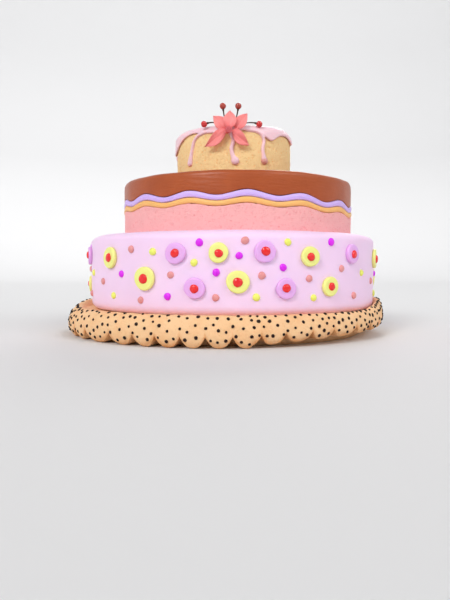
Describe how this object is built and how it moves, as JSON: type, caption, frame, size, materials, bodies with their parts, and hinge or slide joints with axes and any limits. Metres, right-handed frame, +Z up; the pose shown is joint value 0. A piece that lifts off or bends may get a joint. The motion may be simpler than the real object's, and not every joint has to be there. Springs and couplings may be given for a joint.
{
  "type": "tiered cake",
  "caption": "Three-tier party cake on a scalloped biscuit base with chocolate chips, with candy discs and dots, wavy sponge and cream layers, dripping icing and a sugar flower.",
  "frame": {"origin": "on the flat underside of the biscuit base, under the axis of the bottom tier", "axes": "+Z up; -Y is the front, where the flower is; +X to the right as seen from the front"},
  "size_m": [0.2833, 0.2833, 0.1945],
  "materials": {
    "biscuit": "matte, baked biscuit",
    "bottom_icing": "satin, smooth rolled icing",
    "yellow_candy": "satin sugar candy",
    "lilac_candy": "satin sugar candy",
    "pink_sponge": "matte, fine sponge crumb",
    "apricot_cream": "satin cream",
    "lavender_cream": "satin cream",
    "chocolate": "satin milk chocolate ganache",
    "vanilla_sponge": "matte, fine sponge crumb",
    "poured_icing": "glossy poured icing",
    "sugar_petal": "satin sugar paste",
    "flower_heart": "satin sugar paste",
    "berry": "glossy berry skin"
  },
  "bodies": {
    "root": {"biscuit_base": "biscuit", "bottom_tier": "bottom_icing", "candy_disc_01": "yellow_candy", "candy_disc_02": "yellow_candy", "candy_disc_03": "lilac_candy", "candy_disc_04": "lilac_candy", "candy_disc_05": "yellow_candy", "candy_disc_06": "yellow_candy", "candy_disc_07": "lilac_candy", "candy_disc_08": "lilac_candy", "candy_disc_09": "yellow_candy", "candy_disc_10": "yellow_candy", "candy_disc_11": "lilac_candy", "candy_disc_12": "yellow_candy", "candy_disc_13": "yellow_candy", "candy_disc_14": "lilac_candy", "candy_disc_15": "lilac_candy", "candy_disc_16": "yellow_candy", "candy_disc_17": "yellow_candy", "candy_disc_18": "lilac_candy", "candy_disc_19": "lilac_candy", "candy_disc_20": "yellow_candy", "candy_disc_21": "yellow_candy", "candy_disc_22": "lilac_candy", "candy_disc_23": "yellow_candy", "candy_disc_24": "yellow_candy", "candy_disc_25": "lilac_candy", "candy_disc_26": "lilac_candy", "candy_disc_27": "yellow_candy", "candy_disc_28": "yellow_candy", "candy_disc_29": "lilac_candy", "candy_disc_30": "lilac_candy", "candy_disc_31": "yellow_candy", "candy_disc_32": "yellow_candy", "candy_disc_33": "lilac_candy", "pink_sponge_layer": "pink_sponge", "apricot_cream_layer": "apricot_cream", "lavender_cream_layer": "lavender_cream", "chocolate_layer": "chocolate", "vanilla_sponge_tier": "vanilla_sponge", "poured_icing": "poured_icing", "petal_left": "sugar_petal", "petal_right": "sugar_petal", "petal_middle": "sugar_petal", "petal_low_left": "sugar_petal", "petal_low_right": "sugar_petal", "flower_heart": "flower_heart", "sprig_high_left": "berry", "sprig_high_right": "berry", "sprig_left": "berry", "sprig_right": "berry"}
  },
  "joints": []
}
